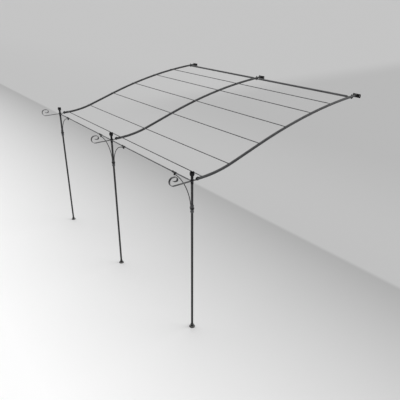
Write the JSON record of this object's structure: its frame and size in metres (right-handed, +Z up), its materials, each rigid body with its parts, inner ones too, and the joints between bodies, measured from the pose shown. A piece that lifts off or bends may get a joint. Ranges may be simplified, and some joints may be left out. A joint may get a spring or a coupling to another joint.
{
  "type": "lean-to pergola",
  "caption": "Wall-mounted lean-to pergola of dark round steel tube: posts with feet and finials, curved braces, scroll straps, bent rafters and thin purlin rods up to wall plates.",
  "frame": {"origin": "underside of the middle post's foot, on the post's axis", "axes": "+X along the wall to the right as seen from the garden, +Y from the posts to the wall, +Z up"},
  "size_m": [4.134, 3.4225, 2.8151],
  "materials": {
    "post_coating": "satin powder coat, dark graphite",
    "foot_coating": "satin powder coat, grey",
    "collar_coating": "satin powder coat, black",
    "head_coating": "satin powder coat, black",
    "finial_coating": "satin powder coat, black",
    "scroll_coating": "satin powder coat, dark graphite",
    "brace_coating": "satin powder coat, dark graphite",
    "clamp_coating": "satin powder coat, black",
    "beam_coating": "satin powder coat, grey",
    "rafter_coating": "satin powder coat, dark graphite",
    "rail_coating": "satin powder coat, grey",
    "bracket_coating": "satin powder coat, black",
    "purlin_coating": "satin powder coat, grey",
    "bolt_black": "blackened"
  },
  "bodies": {
    "root": {"foot_left": "foot_coating", "post_left": "post_coating", "collar_left": "collar_coating", "post_head_left": "head_coating", "finial_left": "finial_coating", "foot_middle": "foot_coating", "post_middle": "post_coating", "collar_middle": "collar_coating", "post_head_middle": "head_coating", "finial_middle": "finial_coating", "foot_right": "foot_coating", "post_right": "post_coating", "collar_right": "collar_coating", "post_head_right": "head_coating", "finial_right": "finial_coating", "scroll_left": "scroll_coating", "scroll_middle": "scroll_coating", "scroll_right": "scroll_coating", "front_beam_left": "beam_coating", "front_beam_right": "beam_coating", "brace_left": "brace_coating", "beam_clamp_left": "clamp_coating", "brace_bolt_left": "bolt_black", "brace_middle_left": "brace_coating", "beam_clamp_middle_left": "clamp_coating", "brace_bolt_middle_left": "bolt_black", "brace_middle_right": "brace_coating", "beam_clamp_middle_right": "clamp_coating", "brace_bolt_middle_right": "bolt_black", "brace_right": "brace_coating", "beam_clamp_right": "clamp_coating", "brace_bolt_right": "bolt_black", "rafter_left": "rafter_coating", "wall_bracket_left": "bracket_coating", "front_bolt_left": "bolt_black", "wall_bolt_left": "bolt_black", "rafter_middle": "rafter_coating", "wall_bracket_middle": "bracket_coating", "front_bolt_middle": "bolt_black", "wall_bolt_middle": "bolt_black", "rafter_right": "rafter_coating", "wall_bracket_right": "bracket_coating", "front_bolt_right": "bolt_black", "wall_bolt_right": "bolt_black", "purlin_left_1": "purlin_coating", "purlin_left_2": "purlin_coating", "purlin_left_3": "purlin_coating", "purlin_left_4": "purlin_coating", "purlin_left_5": "purlin_coating", "purlin_left_6": "purlin_coating", "back_rail_left": "rail_coating", "purlin_right_1": "purlin_coating", "purlin_right_2": "purlin_coating", "purlin_right_3": "purlin_coating", "purlin_right_4": "purlin_coating", "purlin_right_5": "purlin_coating", "purlin_right_6": "purlin_coating", "back_rail_right": "rail_coating"}
  },
  "joints": []
}
